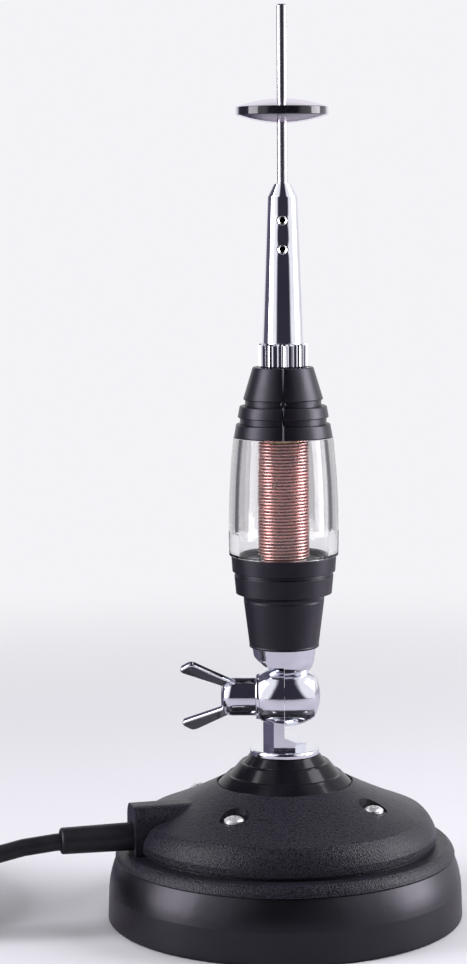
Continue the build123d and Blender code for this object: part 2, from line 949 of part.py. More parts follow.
def cable_coil():
    low = tie_thickness
    high = tie_thickness + coil_height
    inner = turn_radius - coil_band
    shape = turned([
        (inner, low, 0, cable_radius),
        (coil_outer_radius, low, 0, cable_radius),
        (coil_outer_radius, high, 0, cable_radius),
        (inner, high, 0, cable_radius),
    ])
    return Pos(coil_centre) * shape


def cable():
    return tube_along(route_points()) - cable_coil()


def cable_tail():
    return tube_along(tail_points()) - cable_coil()


def cable_tie():
    inner = turn_radius - coil_band - tie_gap
    slack = inner - sqrt(inner**2 - (tie_width / 2) ** 2)
    left = inner - slack
    right = coil_outer_radius + tie_gap
    top = tie_thickness + coil_height + tie_gap
    outer = profile([
        (left - tie_thickness, 0, 0, cable_radius),
        (right + tie_thickness, 0, 0, cable_radius),
        (right + tie_thickness, top + tie_thickness, 0, cable_radius),
        (left - tie_thickness, top + tie_thickness, 0, cable_radius),
    ])
    hole = profile([
        (left, tie_thickness, 0, cable_radius - tie_thickness),
        (right, tie_thickness, 0, cable_radius - tie_thickness),
        (right, top, 0, cable_radius - tie_thickness),
        (left, top, 0, cable_radius - tie_thickness),
    ])
    band = extrude(Plane.XZ * (outer - hole), tie_width / 2, both=True)
    return Pos(coil_centre) * (Rot(0, 0, tie_angle) * band)


def plug_plane():
    heading = tail_plane()[1]
    return Plane(origin=tail_points()[-1], x_dir=(0, 0, 1), z_dir=heading)


def plug_collar_end():
    return plug_rear_length + plug_collar_length


def plug_socket():
    # Floor and mouth of the socket in the plug's front
    mouth = plug_collar_end() + plug_front_length
    return mouth - plug_socket_depth, mouth


def plug_body():
    collar = plug_collar_end()
    socket, front = plug_socket()
    body = turned([
        (0, 0),
        (plug_rear_radius, 0, 0, edge_round),
        (plug_rear_radius, plug_rear_length),
        (plug_collar_radius, plug_rear_length, 0, fine_round),
        (plug_collar_radius, collar),
        (plug_front_radius, collar),
        (plug_front_radius, front, 0, fine_round),
        (plug_socket_radius, front),
        (plug_socket_radius, socket),
        (0, socket),
    ])
    return plug_plane() * body


def plug_ring():
    ring = fluted(plug_ring_radius, plug_ring_flute_depth, plug_ring_flutes, plug_ring_length)
    ends = turned([
        (0, 0),
        (plug_ring_radius - edge_round, 0),
        (plug_ring_radius + edge_round, edge_round * 2),
        (plug_ring_radius + edge_round, plug_ring_length - edge_round * 2),
        (plug_ring_radius - edge_round, plug_ring_length),
        (0, plug_ring_length),
    ])
    ring = ring & ends
    ring -= rod(plug_front_radius + plug_ring_gap, 0, plug_ring_length)
    ring -= rod(plug_ring_thread_radius, plug_ring_lip, plug_ring_length)
    return plug_plane() * (Pos(0, 0, plug_collar_end() + plug_ring_gap) * ring)


def plug_insulator():
    socket, front = plug_socket()
    disc = rod(plug_socket_radius - thread_gap, socket, front - edge_round)
    return plug_plane() * (disc - rod(plug_pin_foot_radius + thread_gap, socket, front))


def plug_pin():
    socket, front = plug_socket()
    pin = turned([
        (0, socket),
        (plug_pin_foot_radius, socket),
        (plug_pin_foot_radius, front - edge_round),
        (plug_pin_radius, front - edge_round),
        (plug_pin_radius, socket + plug_pin_length, 0, edge_round * 2),
        (0, socket + plug_pin_length),
    ])
    return plug_plane() * pin


pieces = {
    "whip": whip(),
    "tuning_disc": tuning_disc(),
    "whip_holder": whip_holder(),
    "grub_screws": grub_screws(),
    "knurled_collar": knurled_collar(),
    "upper_cap": upper_cap(),
    "upper_insert": upper_insert(),
    "clear_cover": clear_cover(),
    "upper_seal": seal(upper_seal_radius(), upper_cap_foot),
    "lower_seal": seal(lower_seal_radius(), clear_foot - seal_height),
    "loading_coil": loading_coil(),
    "coil_former": coil_former(),
    "lower_cap": lower_cap(),
    "lower_insert": lower_insert(),
    "tilt_head": tilt_head(),
    "hinge_bolt": hinge_bolt(),
    "wing_washer": wing_washer(),
    "wing_nut": wing_nut(),
    "tilt_post": tilt_post(),
    "post_flange": post_flange(),
    "stepped_cone": stepped_cone(),
    "insulating_bush": insulating_bush(),
    "feed_stud": feed_stud(),
    "stud_nut": stud_nut(),
    "solder_lug": solder_lug(),
    "base_cover": base_cover(),
    "cover_screws": cover_screws(),
    "magnet_cup": magnet_cup(),
    "ring_magnet": ring_magnet(),
    "rubber_skirt": rubber_skirt(),
    "base_film": base_film(),
    "cable_sleeve": cable_sleeve(),
    "cable": cable(),
    "cable_coil": cable_coil(),
    "cable_tail": cable_tail(),
    "cable_tie": cable_tie(),
    "plug_body": plug_body(),
    "plug_ring": plug_ring(),
    "plug_insulator": plug_insulator(),
    "plug_pin": plug_pin(),
}

os.makedirs("parts", exist_ok=True)
for name, piece in pieces.items():
    export_step(piece, f"parts/{name}.step")
print("hinge height", hinge_height, "top", whip_top)
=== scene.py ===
import bmesh
import bpy
import math
from mathutils import Matrix, Vector


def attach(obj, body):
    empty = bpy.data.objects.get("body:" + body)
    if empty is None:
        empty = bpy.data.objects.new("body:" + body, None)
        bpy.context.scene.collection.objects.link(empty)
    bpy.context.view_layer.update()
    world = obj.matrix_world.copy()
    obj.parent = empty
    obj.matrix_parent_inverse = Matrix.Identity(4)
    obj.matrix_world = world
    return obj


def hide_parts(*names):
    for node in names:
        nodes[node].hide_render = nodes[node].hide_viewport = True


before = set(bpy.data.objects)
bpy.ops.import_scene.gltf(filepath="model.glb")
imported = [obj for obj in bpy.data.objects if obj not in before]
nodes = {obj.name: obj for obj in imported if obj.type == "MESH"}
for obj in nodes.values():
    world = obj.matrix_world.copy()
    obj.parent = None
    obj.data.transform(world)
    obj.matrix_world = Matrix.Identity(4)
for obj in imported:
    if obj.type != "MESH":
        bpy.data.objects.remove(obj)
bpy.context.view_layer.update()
mm = 0.001


# camera: it looks a little down on the mast, whose column in the frame is given in pixels

cameraSetup = {"place": (0.0, -0.864, 0.2552), "pitch": 6.70, "roll": -0.25, "lens": 93.66, "longSide": 36.0,
               "mastColumn": 283.5, "frameWidth": 467, "frameHeight": 964, "nearest": 0.01, "farthest": 50.0}


def placeCamera():
    data = bpy.data.cameras.new("portraitCamera")
    data.lens = cameraSetup["lens"]
    data.sensor_width = cameraSetup["longSide"]
    data.shift_x = (cameraSetup["frameWidth"] / 2 - cameraSetup["mastColumn"]) / cameraSetup["frameHeight"]
    data.clip_start = cameraSetup["nearest"]
    data.clip_end = cameraSetup["farthest"]
    camera = bpy.data.objects.new("portraitCamera", data)
    bpy.context.scene.collection.objects.link(camera)
    tilt = Matrix.Rotation(math.radians(90 - cameraSetup["pitch"]), 4, "X")
    roll = Matrix.Rotation(math.radians(cameraSetup["roll"]), 4, "Z")
    camera.matrix_world = Matrix.Translation(cameraSetup["place"]) @ tilt @ roll
    bpy.context.scene.camera = camera


# helpers that build the node trees; a colour is always three numbers or an output

mixSockets = {"RGBA": (6, 7, 2), "VECTOR": (4, 5, 1)}  # both inputs and the output, whose names aren't unique


def feed(tree, value, socket):
    # a value is another node's output, or stands on the socket itself
    if isinstance(value, bpy.types.NodeSocket):
        tree.links.new(value, socket)
    elif socket.type == "RGBA":
        socket.default_value = (*value, 1)
    else:
        socket.default_value = value


def newNode(tree, kind, **values):
    node = tree.nodes.new(kind)
    for key, value in values.items():
        if hasattr(node, key):
            setattr(node, key, value)
        else:
            feed(tree, value, node.inputs[key])
    return node


def workOut(tree, operation, *values):
    node = newNode(tree, "ShaderNodeMath", operation=operation)
    for value, socket in zip(values, node.inputs):
        feed(tree, value, socket)
    return node.outputs[0]


def remap(tree, value, source=(0.0, 1.0), target=(0.0, 1.0), ease="LINEAR"):
    node = newNode(tree, "ShaderNodeMapRange", interpolation_type=ease)
    for key, number in zip(("From Min", "From Max", "To Min", "To Max"), (*source, *target)):
        node.inputs[key].default_value = number
    tree.links.new(value, node.inputs["Value"])
    return node.outputs["Result"]


def softStep(tree, value, edge):
    return remap(tree, value, source=edge, ease="SMOOTHSTEP")


def mixValues(tree, kind, share, first, second):
    node = newNode(tree, "ShaderNodeMix", data_type=kind)
    firstInput, secondInput, result = mixSockets[kind]
    feed(tree, share, node.inputs[0])
    feed(tree, first, node.inputs[firstInput])
    feed(tree, second, node.inputs[secondInput])
    return node.outputs[result]


def mixColour(tree, share, first, second):
    return mixValues(tree, "RGBA", share, first, second)


def mixShader(tree, share, first, second):
    node = newNode(tree, "ShaderNodeMixShader")
    for output, socket in zip((share, first, second), node.inputs):
        tree.links.new(output, socket)
    return node.outputs[0]


def colourRamp(tree, value, steps, colours, ease="LINEAR"):
    node = newNode(tree, "ShaderNodeValToRGB")
    ramp = node.color_ramp
    ramp.interpolation = ease
    while len(ramp.elements) < len(colours):
        ramp.elements.new(0.5)  # between the ends; the loop below moves it
    for element, step, colour in zip(ramp.elements, steps, colours):
        element.position = step
        element.color = (*colour, 1)
    tree.links.new(value, node.inputs[0])
    return node.outputs[0]


def raiseRelief(tree, height, strength, distance, under=None):
    bump = newNode(tree, "ShaderNodeBump", Strength=strength, Distance=distance)
    tree.links.new(height, bump.inputs["Height"])
    if under:
        tree.links.new(under, bump.inputs["Normal"])
    return bump.outputs["Normal"]


def objectPlace(tree):
    return newNode(tree, "ShaderNodeTexCoord").outputs["Object"]


def splitPlace(tree, place):
    split = newNode(tree, "ShaderNodeSeparateXYZ")
    tree.links.new(place, split.inputs[0])
    return split.outputs["X"], split.outputs["Y"], split.outputs["Z"]


def seenDirectly(tree, rays):
    # one for the camera's own rays and for those that pass through the clear cover
    return workOut(tree, "MAXIMUM", rays.outputs["Is Camera Ray"], rays.outputs["Is Transmission Ray"])


def leftBack(tree, across, deep, sideEdge, deepEdge):
    # one at the left back, zero elsewhere
    leftwards = workOut(tree, "MULTIPLY", across, -1.0)
    return workOut(tree, "MULTIPLY", softStep(tree, deep, deepEdge), softStep(tree, leftwards, sideEdge))


def startMaterial(name):
    material = bpy.data.materials.new(name)
    material.use_nodes = True
    material.node_tree.nodes.clear()
    return material, material.node_tree


def closeTree(tree, surface, kind="ShaderNodeOutputMaterial"):
    output = newNode(tree, kind)
    tree.links.new(surface, output.inputs["Surface"])


# floor, room and lamps

stageSetup = {
    "floorSize": 1.0, "floorSides": 64, "floorColour": (0.80, 0.80, 0.82), "fadeEdge": (0.16, 0.75),
    "floorMirrored": (0.56, 0.54, 0.60), "floorCorner": (0.03, 0.10), "cornerShade": (0.11, 0.10, 0.15),
    "roomLight": 0.13, "darkRoom": (0.034, 0.030, 0.048), "sideWall": (0.95, 0.95, 1.0),
    "wallEdge": (0.58, 0.75), "wallShift": 0.06, "wallLean": 0.38, "backEdge": (0.62, 0.80),
    "cornerSide": (0.15, 0.35), "cornerEdge": (-0.06, 0.05), "backdrop": (0.90, 0.90, 0.93),
    "backdropThrough": (0.57, 0.56, 0.58), "shade": (0.11, 0.11, 0.125), "shadeEdge": (0.52, 0.66),
}


def floorTone(tree, place, rays):
    # mirrors see a greyer floor, with a dark corner at the left back
    mirrored = rays.outputs["Is Glossy Ray"]
    across, deep = splitPlace(tree, place)[:2]
    corner = leftBack(tree, across, deep, stageSetup["floorCorner"], stageSetup["floorCorner"])
    tone = mixColour(tree, mirrored, stageSetup["floorColour"], stageSetup["floorMirrored"])
    return mixColour(tree, workOut(tree, "MULTIPLY", corner, mirrored), tone, stageSetup["cornerShade"])


def floorMaterial():
    # matte near the part; further out it turns into the backdrop where it is seen directly
    material, tree = startMaterial("studioFloor")
    rays = newNode(tree, "ShaderNodeLightPath")
    place = objectPlace(tree)
    matte = newNode(tree, "ShaderNodeBsdfDiffuse")
    tree.links.new(floorTone(tree, place, rays), matte.inputs["Color"])
    glow = newNode(tree, "ShaderNodeEmission", Color=stageSetup["backdrop"])
    reach = newNode(tree, "ShaderNodeVectorMath", operation="LENGTH")
    tree.links.new(place, reach.inputs[0])
    fade = softStep(tree, reach.outputs["Value"], stageSetup["fadeEdge"])
    share = workOut(tree, "MULTIPLY", fade, seenDirectly(tree, rays))
    closeTree(tree, mixShader(tree, share, matte.outputs[0], glow.outputs[0]))
    return material


def makeFloor():
    shape = bmesh.new()
    bmesh.ops.create_circle(shape, cap_ends=True, segments=stageSetup["floorSides"],
                            radius=stageSetup["floorSize"])
    mesh = bpy.data.meshes.new("studioFloor")
    shape.to_mesh(mesh)
    shape.free()
    floor = bpy.data.objects.new("studioFloor", mesh)
    bpy.context.scene.collection.objects.link(floor)
    mesh.materials.append(floorMaterial())


def mirroredWalls(tree, across, deep, high):
    # white walls left and right, a dark room between them, a shaded left corner and the backdrop behind
    sideways = workOut(tree, "ABSOLUTE", workOut(tree, "SUBTRACT", across, stageSetup["wallShift"]))
    leaning = workOut(tree, "MULTIPLY", high, stageSetup["wallLean"])
    walls = colourRamp(tree, workOut(tree, "ADD", sideways, leaning), stageSetup["wallEdge"],
                       [stageSetup["darkRoom"], stageSetup["sideWall"]], ease="EASE")
    corner = leftBack(tree, across, deep, stageSetup["cornerSide"], stageSetup["cornerEdge"])
    walls = mixColour(tree, corner, walls, stageSetup["cornerShade"])
    return mixColour(tree, softStep(tree, deep, stageSetup["backEdge"]), walls, stageSetup["backdrop"])


def plainBackdrop(tree, rays, across, deep):
    # the eye sees a plain colour; through clear plastic it is greyer, and dark at the room's corners
    through = rays.outputs["Is Transmission Ray"]
    slant = workOut(tree, "MINIMUM", workOut(tree, "ABSOLUTE", across), workOut(tree, "ABSOLUTE", deep))
    corners = workOut(tree, "MULTIPLY", softStep(tree, slant, stageSetup["shadeEdge"]), through)
    behind = mixColour(tree, through, stageSetup["backdrop"], stageSetup["backdropThrough"])
    return mixColour(tree, corners, behind, stageSetup["shade"])


def makeRoom():
    # the eye, mirrors and matte surfaces each get their own room
    world = bpy.data.worlds.new("studioRoom")
    bpy.context.scene.world = world
    world.use_nodes = True
    tree = world.node_tree
    tree.nodes.clear()
    direction = newNode(tree, "ShaderNodeTexCoord").outputs["Generated"]
    across, deep, high = splitPlace(tree, direction)
    rays = newNode(tree, "ShaderNodeLightPath")
    matteSees = newNode(tree, "ShaderNodeBackground", Strength=stageSetup["roomLight"])
    mirrorsSee = newNode(tree, "ShaderNodeBackground")
    tree.links.new(mirroredWalls(tree, across, deep, high), mirrorsSee.inputs["Color"])
    eyeSees = newNode(tree, "ShaderNodeBackground")
    tree.links.new(plainBackdrop(tree, rays, across, deep), eyeSees.inputs["Color"])
    lighting = mixShader(tree, rays.outputs["Is Glossy Ray"], matteSees.outputs[0], mirrorsSee.outputs[0])
    room = mixShader(tree, seenDirectly(tree, rays), lighting, eyeSees.outputs[0])
    closeTree(tree, room, "ShaderNodeOutputWorld")


lampTint = (0.96, 0.94, 1.0)
lampTarget = (0.0, 0.0, 0.14)
lampSetup = [
    {"name": "leftBox", "place": (-0.78, -0.20, 0.40), "wide": 0.42, "tall": 1.0, "power": 8.5,
     "mirrored": True},
    {"name": "rightBox", "place": (0.80, 0.03, 0.40), "wide": 0.44, "tall": 1.0, "power": 11.0,
     "mirrored": True},
    {"name": "topBox", "place": (0.05, 0.15, 1.1), "wide": 0.7, "tall": 0.5, "power": 3.5,
     "mirrored": False},
]


def hangLamps():
    for setup in lampSetup:
        data = bpy.data.lights.new(setup["name"], "AREA")
        data.shape = "RECTANGLE"
        data.size = setup["wide"]
        data.size_y = setup["tall"]
        data.energy = setup["power"]
        data.color = lampTint
        lamp = bpy.data.objects.new(setup["name"], data)
        bpy.context.scene.collection.objects.link(lamp)
        lamp.location = setup["place"]
        lamp.visible_glossy = setup["mirrored"]
        aim = Vector(lampTarget) - Vector(setup["place"])
        lamp.rotation_mode = "QUATERNION"
        lamp.rotation_quaternion = aim.to_track_quat("-Z", "Y")


bpy.context.scene.view_settings.view_transform = "Standard"
placeCamera()
makeFloor()
makeRoom()
hangLamps()
print("stage: camera, floor and lamps are set")


# materials: colours and gloss drift softly, with fine relief, all in object coordinates (metres);
# each relief is a scale and a strength

recipes = {
    "chromePlate": {"dark": (0.80, 0.81, 0.86), "light": (0.90, 0.91, 0.94), "metal": 1.0,
                    "blotch": 60, "rough": (0.03, 0.08), "relief": [(45, 0.02)]},
    "castChrome": {"dark": (0.76, 0.77, 0.83), "light": (0.88, 0.89, 0.93), "metal": 1.0,
                   "blotch": 90, "rough": (0.05, 0.13), "relief": [(120, 0.05), (35, 0.05)]},
    "drawnSteel": {"dark": (0.55, 0.54, 0.56), "light": (0.78, 0.77, 0.79), "metal": 1.0,
                   "blotch": 260, "stretch": (1, 1, 0.05), "rough": (0.20, 0.28), "relief": [(250, 0.01)]},
    "brightZinc": {"dark": (0.78, 0.78, 0.78), "light": (0.95, 0.95, 0.93), "metal": 1.0,
                   "blotch": 300, "rough": (0.36, 0.50), "relief": [(400, 0.06)]},
    "blackLacquer": {"dark": (0.006, 0.006, 0.009), "light": (0.016, 0.015, 0.022), "sheen": 0.1,
                     "coat": 1.0, "grazing": (0.55, 0.85), "blotch": 80, "rough": (0.16, 0.26),
                     "relief": [(150, 0.03)]},
    "insulatorBlack": {"dark": (0.006, 0.006, 0.008), "light": (0.013, 0.013, 0.018), "sheen": 0.11,
                       "coat": 0.08, "blotch": 90, "rough": (0.12, 0.22), "relief": [(160, 0.04)]},
    "mouldedCap": {"dark": (0.003, 0.003, 0.005), "light": (0.008, 0.007, 0.010), "sheen": 0.42,
                   "tint": (0.90, 0.86, 1.0), "blotch": 160, "rough": (0.30, 0.42),
                   "relief": [(1400, 0.05), (200, 0.04)]},
    "naturalNylon": {"dark": (0.62, 0.60, 0.55), "light": (0.78, 0.76, 0.70),
                     "blotch": 250, "rough": (0.35, 0.5), "relief": [(600, 0.05)]},
    "copperWire": {"dark": (0.28, 0.024, 0.010), "light": (0.54, 0.09, 0.035), "metal": 1.0, "coat": 1.0,
                   "coatBend": 3.2, "coatRough": 0.27, "blotch": 220, "rough": (0.26, 0.40),
                   "relief": [(700, 0.08)]},
    "turnedBrass": {"dark": (0.50, 0.38, 0.16), "light": (0.76, 0.60, 0.30), "metal": 1.0,
                    "blotch": 400, "stretch": (1, 1, 6), "rough": (0.18, 0.32), "relief": [(900, 0.06)]},
    "bootRubber": {"dark": (0.002, 0.002, 0.003), "light": (0.005, 0.005, 0.007), "sheen": 0.48,
                   "tint": (0.92, 0.88, 1.0), "blotch": 45, "rough": (0.27, 0.40),
                   "relief": [(500, 0.06), (60, 0.05)]},
    "cableJacket": {"dark": (0.006, 0.006, 0.008), "light": (0.015, 0.014, 0.019), "sheen": 0.34,
                    "blotch": 140, "rough": (0.36, 0.52), "relief": [(900, 0.08)]},
    "platedCup": {"dark": (0.45, 0.46, 0.48), "light": (0.68, 0.69, 0.71), "metal": 1.0,
                  "blotch": 110, "rough": (0.22, 0.4), "relief": [(300, 0.08)]},
    "ferrite": {"dark": (0.022, 0.022, 0.024), "light": (0.055, 0.054, 0.056),
                "blotch": 200, "rough": (0.5, 0.7), "relief": [(800, 0.2)]},
    "filmSheet": {"dark": (0.03, 0.03, 0.034), "light": (0.06, 0.06, 0.066),
                  "blotch": 40, "rough": (0.3, 0.5), "relief": [(250, 0.06)]},
    "hookStrap": {"dark": (0.010, 0.010, 0.012), "light": (0.04, 0.04, 0.045),
                  "blotch": 900, "rough": (0.8, 0.95), "relief": [(1500, 0.6)]},
    "nickelPlate": {"dark": (0.62, 0.60, 0.56), "light": (0.80, 0.78, 0.73), "metal": 1.0,
                    "blotch": 150, "rough": (0.10, 0.2), "relief": [(200, 0.04)]},
}
usualRecipe = {"metal": 0.0, "coat": 0.0, "coatRough": 0.06, "coatBend": 1.5, "sheen": 0.5,
               "tint": (1.0, 1.0, 1.0)}
evenSockets = {"Metallic": "metal", "Coat Weight": "coat", "Coat Roughness": "coatRough",
               "Coat IOR": "coatBend", "Specular IOR Level": "sheen", "Specular Tint": "tint"}
driftSetup = {"detail": 3.0, "roughness": 0.6, "colourSpan": (0.32, 0.70), "glossSpan": (0.3, 0.7),
              "glossScale": 0.37, "glossDetail": 4.0, "reliefDepth": 0.2}
mirrorSetup = {"colour": (0.86, 0.82, 0.90), "rough": 0.08}


def driftNoise(tree, place, scale, detail=driftSetup["detail"]):
    noise = newNode(tree, "ShaderNodeTexNoise", Scale=scale, Detail=detail, Roughness=driftSetup["roughness"])
    tree.links.new(place, noise.inputs["Vector"])
    return noise.outputs["Fac"]


def stretchPlace(tree, place, scale):
    squeeze = newNode(tree, "ShaderNodeMapping", Scale=scale)
    tree.links.new(place, squeeze.inputs["Vector"])
    return squeeze.outputs["Vector"]


def addGrazingMirror(tree, surface, edge):
    # polished lacquer turns into a mirror at flat angles
    facing = newNode(tree, "ShaderNodeLayerWeight").outputs["Facing"]
    mirror = newNode(tree, "ShaderNodeBsdfGlossy", Color=mirrorSetup["colour"],
                     Roughness=mirrorSetup["rough"])
    return mixShader(tree, softStep(tree, facing, edge), surface, mirror.outputs[0])


def makeSurface(name):
    recipe = {**usualRecipe, **recipes[name]}
    material, tree = startMaterial(name)
    shader = newNode(tree, "ShaderNodeBsdfPrincipled")
    for socket, key in evenSockets.items():
        feed(tree, recipe[key], shader.inputs[socket])
    place = objectPlace(tree)
    if "stretch" in recipe:
        place = stretchPlace(tree, place, recipe["stretch"])
    drift = driftNoise(tree, place, recipe["blotch"])
    colour = colourRamp(tree, drift, driftSetup["colourSpan"], [recipe["dark"], recipe["light"]])
    tree.links.new(colour, shader.inputs["Base Color"])
    drift = driftNoise(tree, place, recipe["blotch"] * driftSetup["glossScale"], driftSetup["glossDetail"])
    gloss = remap(tree, drift, driftSetup["glossSpan"], recipe["rough"])
    tree.links.new(gloss, shader.inputs["Roughness"])
    normal = None
    for scale, strength in recipe["relief"]:
        height = driftNoise(tree, place, scale)
        normal = raiseRelief(tree, height, strength, driftSetup["reliefDepth"] / scale, normal)
    tree.links.new(normal, shader.inputs["Normal"])
    surface = shader.outputs[0]
    if "grazing" in recipe:
        surface = addGrazingMirror(tree, surface, recipe["grazing"])
    closeTree(tree, surface)
    return material


# the dark and light colours here are painted shade in the gaps and painted highlight on the crowns
pebbleSetup = {"scale": 1900, "rounding": 0.7, "warpScale": 0.6, "warpDetail": 2.0, "warp": 0.0006,
               "crown": (0.1, 0.75), "dark": (0.004, 0.004, 0.006), "light": (0.034, 0.032, 0.046),
               "rough": (0.26, 0.42), "glossScale": 70, "sheen": 0.21, "strength": 0.75, "distance": 0.00014}


def pebbleCrowns(tree, place):
    # one on the crown of each rounded cell, zero in the gaps; a fine warp keeps the cells from being regular
    noise = newNode(tree, "ShaderNodeTexNoise", Scale=pebbleSetup["scale"] * pebbleSetup["warpScale"],
                    Detail=pebbleSetup["warpDetail"])
    tree.links.new(place, noise.inputs["Vector"])
    warped = mixValues(tree, "VECTOR", pebbleSetup["warp"], place, noise.outputs["Color"])
    cells = newNode(tree, "ShaderNodeTexVoronoi", feature="SMOOTH_F1", Scale=pebbleSetup["scale"],
                    Smoothness=pebbleSetup["rounding"])
    tree.links.new(warped, cells.inputs["Vector"])
    return remap(tree, cells.outputs["Distance"], source=pebbleSetup["crown"], target=(1.0, 0.0))


def makePebbledPaint():
    # fine leather grain of the cover, with painted highlight on its crowns and painted shade in the gaps
    # between them
    material, tree = startMaterial("pebbledPaint")
    shader = newNode(tree, "ShaderNodeBsdfPrincipled")
    shader.inputs["Specular IOR Level"].default_value = pebbleSetup["sheen"]
    place = objectPlace(tree)
    crown = pebbleCrowns(tree, place)
    # painted light: the crown mask makes the crowns pale and the gaps dark
    colour = colourRamp(tree, crown, (0.0, 1.0), [pebbleSetup["dark"], pebbleSetup["light"]])
    tree.links.new(colour, shader.inputs["Base Color"])
    gloss = remap(tree, driftNoise(tree, place, pebbleSetup["glossScale"]), target=pebbleSetup["rough"])
    tree.links.new(gloss, shader.inputs["Roughness"])
    normal = raiseRelief(tree, crown, pebbleSetup["strength"], pebbleSetup["distance"])
    tree.links.new(normal, shader.inputs["Normal"])
    closeTree(tree, shader.outputs[0])
    return material


acrylicSetup = {"dark": (0.88, 0.875, 0.88), "light": (0.95, 0.945, 0.95), "blotch": 60, "rough": (0.0, 0.03),
                "glossScale": 45, "bend": 1.49, "outside": (0.12, 0.12, 0.13), "inside": (1.0, 1.0, 1.0),
                "reliefScale": 80, "strength": 0.03, "distance": 0.001}


def makeAcrylic():
    material, tree = startMaterial("clearAcrylic")
    shader = newNode(tree, "ShaderNodeBsdfPrincipled", IOR=acrylicSetup["bend"])
    shader.inputs["Transmission Weight"].default_value = 1.0
    # rays that meet the outside are hardly mirrored, and those inside the wall keep their full mirroring
    side = newNode(tree, "ShaderNodeNewGeometry").outputs["Backfacing"]
    mirroring = mixColour(tree, side, acrylicSetup["outside"], acrylicSetup["inside"])
    tree.links.new(mirroring, shader.inputs["Specular Tint"])
    place = objectPlace(tree)
    drift = driftNoise(tree, place, acrylicSetup["blotch"])
    colour = colourRamp(tree, drift, (0.0, 1.0), [acrylicSetup["dark"], acrylicSetup["light"]])
    tree.links.new(colour, shader.inputs["Base Color"])
    gloss = remap(tree, driftNoise(tree, place, acrylicSetup["glossScale"]), target=acrylicSetup["rough"])
    tree.links.new(gloss, shader.inputs["Roughness"])
    height = driftNoise(tree, place, acrylicSetup["reliefScale"])
    normal = raiseRelief(tree, height, acrylicSetup["strength"], acrylicSetup["distance"])
    tree.links.new(normal, shader.inputs["Normal"])
    # the lamps shine straight through, so the winding isn't in the cover's shadow
    shadowRay = newNode(tree, "ShaderNodeLightPath").outputs["Is Shadow Ray"]
    clear = newNode(tree, "ShaderNodeBsdfTransparent")
    closeTree(tree, mixShader(tree, shadowRay, shader.outputs[0], clear.outputs[0]))
    return material


# the socket colour paints shade into the hex socket and the rim colour paints shade into the gap round the
# head; the ring is the steel's own bright colour
grubSetup = {"heights": (244.1, 234.2), "reach": 2.0, "rough": (0.16, 0.26), "glossScale": 900,
             "socket": (0.012, 0.012, 0.014), "ring": (0.92, 0.92, 0.90), "rimGapShade": (0.10, 0.10, 0.11),
             "steps": (0.50, 0.54, 0.88, 0.95), "slope": 1.0}


def nearestGrub(tree, place):
    # how far a point is from the axis of the nearer of the two screws
    flat = newNode(tree, "ShaderNodeVectorMath", operation="MULTIPLY")
    flat.inputs[1].default_value = (1, 0, 1)
    tree.links.new(place, flat.inputs[0])
    reaches = []
    for height in grubSetup["heights"]:
        gap = newNode(tree, "ShaderNodeVectorMath", operation="DISTANCE")
        gap.inputs[1].default_value = (0, 0, height * mm)
        tree.links.new(flat.outputs[0], gap.inputs[0])
        reaches.append(gap.outputs["Value"])
    return workOut(tree, "MINIMUM", *reaches)


def makeGrubSteel():
    # painted shade in the socket and painted shade in the gap at the rim, with a bright slanted ring between
    # them
    material, tree = startMaterial("grubSteel")
    shader = newNode(tree, "ShaderNodeBsdfPrincipled", Metallic=1.0)
    place = objectPlace(tree)
    nearest = nearestGrub(tree, place)
    # painted shade in the socket and at the rim, bright steel between them
    colours = [grubSetup["socket"], grubSetup["ring"], grubSetup["ring"], grubSetup["rimGapShade"]]
    outwards = workOut(tree, "DIVIDE", nearest, grubSetup["reach"] * mm)
    tree.links.new(colourRamp(tree, outwards, grubSetup["steps"], colours), shader.inputs["Base Color"])
    gloss = remap(tree, driftNoise(tree, place, grubSetup["glossScale"]), target=grubSetup["rough"])
    tree.links.new(gloss, shader.inputs["Roughness"])
    normal = raiseRelief(tree, nearest, 1.0, grubSetup["slope"])
    tree.links.new(normal, shader.inputs["Normal"])
    closeTree(tree, shader.outputs[0])
    return material


paintPlan = {
    "chromePlate": ["whip_holder", "knurled_collar", "hinge_bolt", "wing_washer", "post_flange"],
    "castChrome": ["tilt_head", "tilt_post", "wing_nut"],
    "drawnSteel": ["whip"],
    "brightZinc": ["cover_screws"],
    "grubSteel": ["grub_screws"],
    "blackLacquer": ["tuning_disc"],
    "insulatorBlack": ["stepped_cone"],
    "mouldedCap": ["upper_cap", "lower_cap"],
    "naturalNylon": ["coil_former", "insulating_bush", "plug_insulator"],
    "copperWire": ["loading_coil"],
    "turnedBrass": ["upper_insert", "lower_insert", "feed_stud", "stud_nut", "solder_lug"],
    "bootRubber": ["rubber_skirt", "upper_seal", "lower_seal"],
    "cableJacket": ["cable", "cable_coil", "cable_tail", "cable_sleeve"],
    "platedCup": ["magnet_cup"],
    "ferrite": ["ring_magnet"],
    "filmSheet": ["base_film"],
    "hookStrap": ["cable_tie"],
    "nickelPlate": ["plug_body", "plug_ring", "plug_pin"],
    "pebbledPaint": ["base_cover"],
    "clearAcrylic": ["clear_cover"],
}


def paintNodes():
    finished = {name: makeSurface(name) for name in recipes}
    finished["pebbledPaint"] = makePebbledPaint()
    finished["clearAcrylic"] = makeAcrylic()
    finished["grubSteel"] = makeGrubSteel()
    for finish, names in paintPlan.items():
        for name in names:
            slots = nodes[name].data.materials
            slots.clear()
            slots.append(finished[finish])
    return finished


finishes = paintNodes()
print("materials are on the nodes")


# new pieces: each starts as a bmesh and rides on one body

mergeGap = 0.000001


def ofKind(geometry, kind):
    return [item for item in geometry if isinstance(item, kind)]


